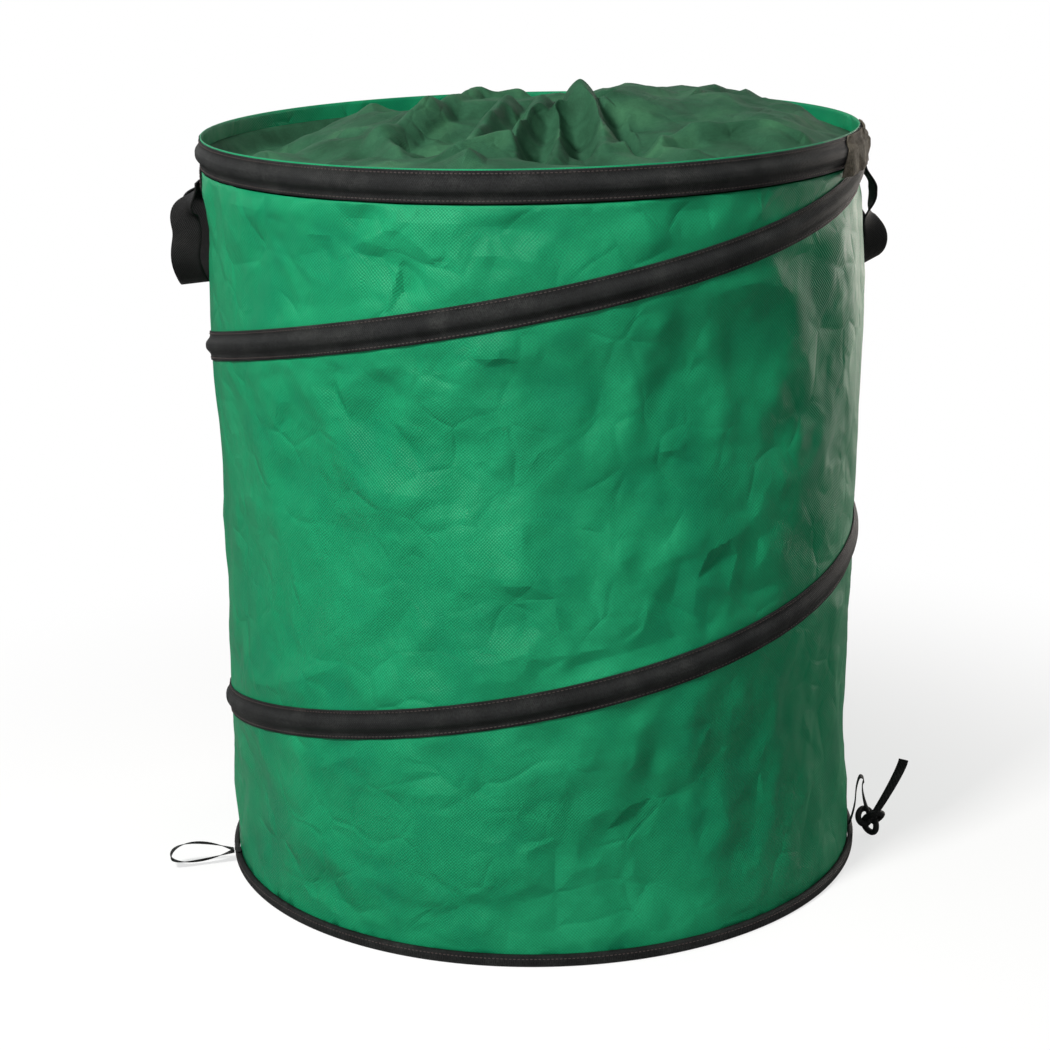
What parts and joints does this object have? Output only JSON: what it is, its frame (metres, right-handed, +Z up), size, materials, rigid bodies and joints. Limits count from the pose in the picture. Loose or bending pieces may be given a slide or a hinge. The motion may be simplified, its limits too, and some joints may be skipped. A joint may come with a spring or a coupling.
{
  "type": "pop up leaf bag",
  "caption": "Collapsible round garden waste bag: green fabric tub held open by a spiral spring wire in black tape, with a gathered collar, webbing handles and closing straps.",
  "frame": {"origin": "Centre of the base panel's underside, on the floor the bag stands on.", "axes": "+Z up along the tub's axis, front (the side in the picture) faces -Y, +X to the right; the carry handles hang near -X and +X."},
  "size_m": [0.6697, 0.57, 0.686],
  "materials": {
    "green_oxford": "coated woven polyester, slight sheen, creased",
    "collar_cloth": "thin woven polyester, darker green, soft sheen",
    "black_tape": "ribbed polyester tape, matt, stitched along both edges",
    "black_webbing": "woven polypropylene webbing, matt",
    "spring_steel": "drawn spring steel wire"
  },
  "bodies": {
    "base": {"base_panel": "green_oxford", "bottom_hoop_wire": "spring_steel", "bottom_hoop_ferrule": "spring_steel", "bottom_binding": "black_tape", "wall_fabric": "green_oxford", "spiral_wire": "spring_steel", "spiral_tape": "black_tape", "loop_tab": "black_tape", "tie_root": "black_tape"},
    "rim": {"top_hoop_wire": "spring_steel", "top_hoop_ferrule": "spring_steel", "top_binding": "black_tape", "rim_joint_patch": "black_tape", "collar": "collar_cloth", "left_handle_front_tab": "black_webbing", "left_handle_rear_tab": "black_webbing", "right_handle_front_tab": "black_webbing", "right_handle_rear_tab": "black_webbing"},
    "left_handle": {"left_handle": "black_webbing"},
    "right_handle": {"right_handle": "black_webbing"},
    "bottom_loop": {"bottom_loop": "black_tape"},
    "tie": {"tie_strap": "black_tape"}
  },
  "joints": [
    {"name": "collapse", "type": "slide", "parent": "base", "child": "rim", "axis": [0, 0, -1], "range_m": [0, 0.575], "stiffness_N_per_m": 40, "springref_m": -0.3, "deforming": ["wall_fabric", "spiral_wire", "spiral_tape"]},
    {"name": "left_handle_swing", "type": "hinge", "parent": "rim", "child": "left_handle", "pos_m": [-0.2819, 0.00492, 0.6117], "axis": [0.0175, 0.9998, 0], "range_deg": [0, 130]},
    {"name": "right_handle_swing", "type": "hinge", "parent": "rim", "child": "right_handle", "pos_m": [0.28063, 0.03694, 0.6117], "axis": [0.1305, -0.9914, 0], "range_deg": [0, 130]},
    {"name": "bottom_loop_lift", "type": "hinge", "parent": "base", "child": "bottom_loop", "pos_m": [-0.2801, -0.0621, 0.0115], "axis": [-0.2164, 0.9763, 0], "range_deg": [0, 70]},
    {"name": "tie_lift", "type": "hinge", "parent": "base", "child": "tie", "pos_m": [0.29359, -0.02672, 0.0526], "axis": [-0.0906, -0.9959, 0], "range_deg": [0, 55]}
  ]
}
